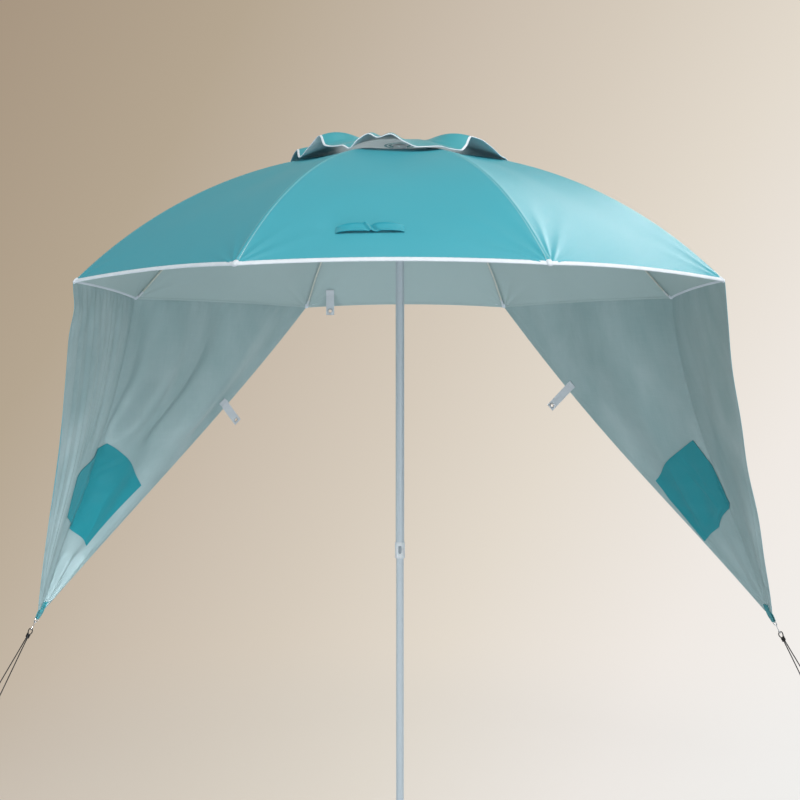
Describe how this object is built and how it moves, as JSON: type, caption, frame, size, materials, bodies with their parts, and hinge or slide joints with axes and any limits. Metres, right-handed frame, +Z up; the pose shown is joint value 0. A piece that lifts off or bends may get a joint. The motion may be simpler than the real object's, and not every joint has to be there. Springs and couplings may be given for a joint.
{
  "type": "umbrella shelter",
  "caption": "Beach umbrella with a vented ribbed canopy on a telescoping pole and sand spike, with pegged side wings that shelter the space behind it.",
  "frame": {"origin": "on the pole's axis at the level of the sand", "axes": "+Z up the pole, -Y towards the open front, +X to the right of someone who looks in from the front"},
  "size_m": [3.4526, 1.9439, 2.5788],
  "materials": {
    "lower_pole": "coated tube",
    "sand_spike": "moulded",
    "upper_pole": "coated tube",
    "pole_collar": "moulded",
    "collar_button": "moulded",
    "crown": "moulded",
    "crown_wire": "drawn wire",
    "cap_nut": "moulded",
    "runner": "moulded",
    "runner_catch": "sheet metal",
    "canopy": "coated woven cloth",
    "hem_binding": "woven tape",
    "vent_cap": "coated woven cloth",
    "closure_strap": "woven band",
    "back_tab": "webbing",
    "back_eyelet": "plated",
    "rib_1": "coated rod",
    "rib_tip_1": "moulded",
    "stretcher_1": "coated rod",
    "rib_2": "coated rod",
    "rib_tip_2": "moulded",
    "stretcher_2": "coated rod",
    "rib_3": "coated rod",
    "rib_tip_3": "moulded",
    "stretcher_3": "coated rod",
    "rib_4": "coated rod",
    "rib_tip_4": "moulded",
    "stretcher_4": "coated rod",
    "rib_5": "coated rod",
    "rib_tip_5": "moulded",
    "stretcher_5": "coated rod",
    "rib_6": "coated rod",
    "rib_tip_6": "moulded",
    "stretcher_6": "coated rod",
    "rib_7": "coated rod",
    "rib_tip_7": "moulded",
    "stretcher_7": "coated rod",
    "rib_8": "coated rod",
    "rib_tip_8": "moulded",
    "stretcher_8": "coated rod",
    "left_wing": "coated woven cloth",
    "left_pocket": "coated woven cloth",
    "left_edge_tab": "webbing",
    "left_edge_eyelet": "plated",
    "left_corner_tab": "webbing",
    "left_corner_ring": "plated wire",
    "left_wire_hook": "plated wire",
    "left_guy_rope": "braided cord",
    "left_line_slider": "moulded",
    "left_ground_peg": "plated wire",
    "right_wing": "coated woven cloth",
    "right_pocket": "coated woven cloth",
    "right_edge_tab": "webbing",
    "right_edge_eyelet": "plated",
    "right_corner_tab": "webbing",
    "right_corner_ring": "plated wire",
    "right_wire_hook": "plated wire",
    "right_guy_rope": "braided cord",
    "right_line_slider": "moulded",
    "right_ground_peg": "plated wire"
  },
  "bodies": {
    "planted": {"lower_pole": "lower_pole", "sand_spike": "sand_spike"},
    "upper_section": {"upper_pole": "upper_pole", "pole_collar": "pole_collar", "crown": "crown", "crown_wire": "crown_wire", "cap_nut": "cap_nut", "canopy": "canopy", "hem_binding": "hem_binding", "vent_cap": "vent_cap", "closure_strap": "closure_strap", "back_tab": "back_tab", "back_eyelet": "back_eyelet"},
    "press_button": {"collar_button": "collar_button"},
    "spring_catch": {"runner_catch": "runner_catch"},
    "sliding_runner": {"runner": "runner"},
    "rib_arm_1": {"rib_1": "rib_1", "rib_tip_1": "rib_tip_1"},
    "stretcher_arm_1": {"stretcher_1": "stretcher_1"},
    "rib_arm_2": {"rib_2": "rib_2", "rib_tip_2": "rib_tip_2"},
    "stretcher_arm_2": {"stretcher_2": "stretcher_2"},
    "rib_arm_3": {"rib_3": "rib_3", "rib_tip_3": "rib_tip_3"},
    "stretcher_arm_3": {"stretcher_3": "stretcher_3"},
    "rib_arm_4": {"rib_4": "rib_4", "rib_tip_4": "rib_tip_4"},
    "stretcher_arm_4": {"stretcher_4": "stretcher_4"},
    "rib_arm_5": {"rib_5": "rib_5", "rib_tip_5": "rib_tip_5"},
    "stretcher_arm_5": {"stretcher_5": "stretcher_5"},
    "rib_arm_6": {"rib_6": "rib_6", "rib_tip_6": "rib_tip_6"},
    "stretcher_arm_6": {"stretcher_6": "stretcher_6"},
    "rib_arm_7": {"rib_7": "rib_7", "rib_tip_7": "rib_tip_7"},
    "stretcher_arm_7": {"stretcher_7": "stretcher_7"},
    "rib_arm_8": {"rib_8": "rib_8", "rib_tip_8": "rib_tip_8"},
    "stretcher_arm_8": {"stretcher_8": "stretcher_8"},
    "left_wing_set": {"left_wing": "left_wing", "left_pocket": "left_pocket", "left_edge_tab": "left_edge_tab", "left_edge_eyelet": "left_edge_eyelet", "left_corner_tab": "left_corner_tab", "left_corner_ring": "left_corner_ring", "left_wire_hook": "left_wire_hook", "left_guy_rope": "left_guy_rope", "left_line_slider": "left_line_slider", "left_ground_peg": "left_ground_peg"},
    "right_wing_set": {"right_wing": "right_wing", "right_pocket": "right_pocket", "right_edge_tab": "right_edge_tab", "right_edge_eyelet": "right_edge_eyelet", "right_corner_tab": "right_corner_tab", "right_corner_ring": "right_corner_ring", "right_wire_hook": "right_wire_hook", "right_guy_rope": "right_guy_rope", "right_line_slider": "right_line_slider", "right_ground_peg": "right_ground_peg"}
  },
  "joints": [
    {"name": "pole_telescope", "type": "slide", "parent": "planted", "child": "upper_section", "axis": [0, 0, 1], "range_m": [-0.35, 0.1]},
    {"name": "collar_press", "type": "slide", "parent": "upper_section", "child": "press_button", "axis": [0, 1, 0], "range_m": [0, 0.0012], "stiffness_N_per_m": 3000},
    {"name": "catch_press", "type": "slide", "parent": "upper_section", "child": "spring_catch", "axis": [0, -1, 0], "range_m": [0, 0.0032], "stiffness_N_per_m": 1500},
    {"name": "runner_slide", "type": "slide", "parent": "upper_section", "child": "sliding_runner", "axis": [0, 0, 1], "range_m": [-0.58159, 0], "deforming": ["canopy", "hem_binding", "vent_cap", "closure_strap", "back_tab", "left_wing", "left_pocket", "left_edge_tab", "right_wing", "right_pocket", "right_edge_tab"]},
    {"name": "rib_fold_1", "type": "hinge", "parent": "upper_section", "child": "rib_arm_1", "pos_m": [0.02772, 0.01148, 2.20094], "axis": [-0.3827, 0.9239, 0], "range_deg": [0, 64.74]},
    {"name": "stretcher_fold_1", "type": "hinge", "parent": "rib_arm_1", "child": "stretcher_arm_1", "pos_m": [0.41343, 0.17125, 2.12151], "axis": [-0.3827, 0.9239, 0], "range_deg": [-115.86, 0]},
    {"name": "rib_fold_2", "type": "hinge", "parent": "upper_section", "child": "rib_arm_2", "pos_m": [0.01148, 0.02772, 2.20094], "axis": [-0.9239, 0.3827, 0], "range_deg": [0, 64.74]},
    {"name": "stretcher_fold_2", "type": "hinge", "parent": "rib_arm_2", "child": "stretcher_arm_2", "pos_m": [0.17125, 0.41343, 2.12151], "axis": [-0.9239, 0.3827, 0], "range_deg": [-115.86, 0]},
    {"name": "rib_fold_3", "type": "hinge", "parent": "upper_section", "child": "rib_arm_3", "pos_m": [-0.01148, 0.02772, 2.20094], "axis": [-0.9239, -0.3827, 0], "range_deg": [0, 64.74]},
    {"name": "stretcher_fold_3", "type": "hinge", "parent": "rib_arm_3", "child": "stretcher_arm_3", "pos_m": [-0.17125, 0.41343, 2.12151], "axis": [-0.9239, -0.3827, 0], "range_deg": [-115.86, 0]},
    {"name": "rib_fold_4", "type": "hinge", "parent": "upper_section", "child": "rib_arm_4", "pos_m": [-0.02772, 0.01148, 2.20094], "axis": [-0.3827, -0.9239, 0], "range_deg": [0, 64.74]},
    {"name": "stretcher_fold_4", "type": "hinge", "parent": "rib_arm_4", "child": "stretcher_arm_4", "pos_m": [-0.41343, 0.17125, 2.12151], "axis": [-0.3827, -0.9239, 0], "range_deg": [-115.86, 0]},
    {"name": "rib_fold_5", "type": "hinge", "parent": "upper_section", "child": "rib_arm_5", "pos_m": [-0.02772, -0.01148, 2.20094], "axis": [0.3827, -0.9239, 0], "range_deg": [0, 64.74]},
    {"name": "stretcher_fold_5", "type": "hinge", "parent": "rib_arm_5", "child": "stretcher_arm_5", "pos_m": [-0.41343, -0.17125, 2.12151], "axis": [0.3827, -0.9239, 0], "range_deg": [-115.86, 0]},
    {"name": "rib_fold_6", "type": "hinge", "parent": "upper_section", "child": "rib_arm_6", "pos_m": [-0.01148, -0.02772, 2.20094], "axis": [0.9239, -0.3827, 0], "range_deg": [0, 64.74]},
    {"name": "stretcher_fold_6", "type": "hinge", "parent": "rib_arm_6", "child": "stretcher_arm_6", "pos_m": [-0.17125, -0.41343, 2.12151], "axis": [0.9239, -0.3827, 0], "range_deg": [-115.86, 0]},
    {"name": "rib_fold_7", "type": "hinge", "parent": "upper_section", "child": "rib_arm_7", "pos_m": [0.01148, -0.02772, 2.20094], "axis": [0.9239, 0.3827, 0], "range_deg": [0, 64.74]},
    {"name": "stretcher_fold_7", "type": "hinge", "parent": "rib_arm_7", "child": "stretcher_arm_7", "pos_m": [0.17125, -0.41343, 2.12151], "axis": [0.9239, 0.3827, 0], "range_deg": [-115.86, 0]},
    {"name": "rib_fold_8", "type": "hinge", "parent": "upper_section", "child": "rib_arm_8", "pos_m": [0.02772, -0.01148, 2.20094], "axis": [0.3827, 0.9239, 0], "range_deg": [0, 64.74]},
    {"name": "stretcher_fold_8", "type": "hinge", "parent": "rib_arm_8", "child": "stretcher_arm_8", "pos_m": [0.41343, -0.17125, 2.12151], "axis": [0.3827, 0.9239, 0], "range_deg": [-115.86, 0]},
    {"name": "left_wing_hang", "type": "hinge", "parent": "rib_arm_4", "child": "left_wing_set", "pos_m": [-0.97007, 0.40182, 1.757], "axis": [-0.3827, -0.9239, 0], "range_deg": [-49.8, 0]},
    {"name": "right_wing_hang", "type": "hinge", "parent": "rib_arm_1", "child": "right_wing_set", "pos_m": [0.97007, 0.40182, 1.757], "axis": [-0.3827, 0.9239, 0], "range_deg": [-49.8, 0]}
  ],
  "couplings": [
    {"joint": "rib_fold_1", "follows": "runner_slide", "rad_per_m": -1.9428},
    {"joint": "stretcher_fold_1", "follows": "runner_slide", "rad_per_m": 3.4768},
    {"joint": "rib_fold_2", "follows": "runner_slide", "rad_per_m": -1.9428},
    {"joint": "stretcher_fold_2", "follows": "runner_slide", "rad_per_m": 3.4768},
    {"joint": "rib_fold_3", "follows": "runner_slide", "rad_per_m": -1.9428},
    {"joint": "stretcher_fold_3", "follows": "runner_slide", "rad_per_m": 3.4768},
    {"joint": "rib_fold_4", "follows": "runner_slide", "rad_per_m": -1.9428},
    {"joint": "stretcher_fold_4", "follows": "runner_slide", "rad_per_m": 3.4768},
    {"joint": "rib_fold_5", "follows": "runner_slide", "rad_per_m": -1.9428},
    {"joint": "stretcher_fold_5", "follows": "runner_slide", "rad_per_m": 3.4768},
    {"joint": "rib_fold_6", "follows": "runner_slide", "rad_per_m": -1.9428},
    {"joint": "stretcher_fold_6", "follows": "runner_slide", "rad_per_m": 3.4768},
    {"joint": "rib_fold_7", "follows": "runner_slide", "rad_per_m": -1.9428},
    {"joint": "stretcher_fold_7", "follows": "runner_slide", "rad_per_m": 3.4768},
    {"joint": "rib_fold_8", "follows": "runner_slide", "rad_per_m": -1.9428},
    {"joint": "stretcher_fold_8", "follows": "runner_slide", "rad_per_m": 3.4768},
    {"joint": "left_wing_hang", "follows": "runner_slide", "rad_per_m": 1.4945},
    {"joint": "right_wing_hang", "follows": "runner_slide", "rad_per_m": 1.4945}
  ]
}
